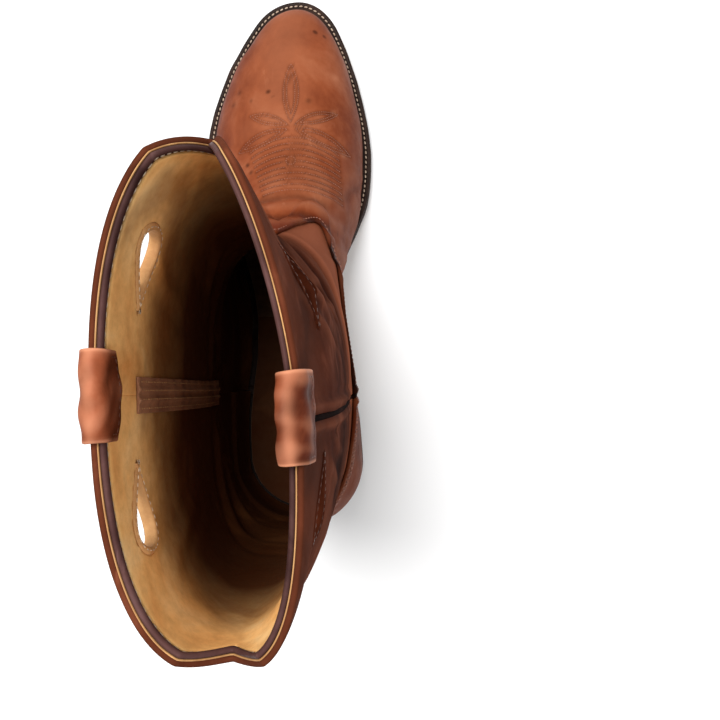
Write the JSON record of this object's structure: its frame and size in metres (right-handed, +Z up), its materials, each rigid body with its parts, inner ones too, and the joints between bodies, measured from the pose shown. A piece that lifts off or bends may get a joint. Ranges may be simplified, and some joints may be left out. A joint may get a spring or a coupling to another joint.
{
  "type": "cowboy boot",
  "caption": "Left pull-on cowboy boot in brown leather: round toe, stitched vamp, tall shaft with pull holes and pull straps, welted sole on a stacked heel.",
  "frame": {"origin": "centre of the heel cap's underside, on the floor", "axes": "+Z up, +Y towards the toe, +X towards the inner side of this left foot"},
  "size_m": [0.103, 0.3293, 0.3053],
  "materials": {
    "upper_leather": "waxed pull-up leather, satin, scuffed",
    "dark_leather": "dark purple-brown edge leather, satin",
    "lining_leather": "golden tan lining leather, matt, darkened by wear",
    "sole_leather": "dark stained and waxed edge",
    "stacked_leather": "stacked leather, dark stained and waxed",
    "insole_leather": "plain vegetable-tanned leather, matt",
    "cork": "ground cork filler",
    "shank_steel": "plain spring steel",
    "brass_nails": "plain nail",
    "rubber_cap": "matt rubber top piece"
  },
  "bodies": {
    "root": {"vamp": "upper_leather", "counter": "upper_leather", "shaft_front": "upper_leather", "shaft_back": "upper_leather", "side_piping_inner": "dark_leather", "side_piping_outer": "dark_leather", "vamp_lining": "lining_leather", "lining_front": "lining_leather", "lining_back": "lining_leather", "toe_box": "insole_leather", "heel_stiffener": "insole_leather", "top_binding": "dark_leather", "pull_strap_inner": "upper_leather", "pull_strap_outer": "upper_leather", "seam_tape_inner": "lining_leather", "seam_tape_outer": "lining_leather", "hole_binding_inner_front": "lining_leather", "hole_binding_inner_back": "lining_leather", "hole_binding_outer_front": "lining_leather", "hole_binding_outer_back": "lining_leather", "outsole": "sole_leather", "welt": "sole_leather", "heel_rand": "sole_leather", "insole": "insole_leather", "heel_sock": "lining_leather", "cork_filler": "cork", "steel_shank": "shank_steel", "heel_cap": "rubber_cap", "heel_lift_1": "stacked_leather", "heel_lift_2": "stacked_leather", "heel_lift_3": "stacked_leather", "heel_lift_4": "stacked_leather", "heel_nail_1": "brass_nails", "heel_nail_2": "brass_nails", "heel_nail_3": "brass_nails", "heel_nail_4": "brass_nails", "heel_nail_5": "brass_nails", "heel_nail_6": "brass_nails", "heel_nail_7": "brass_nails"}
  },
  "joints": []
}
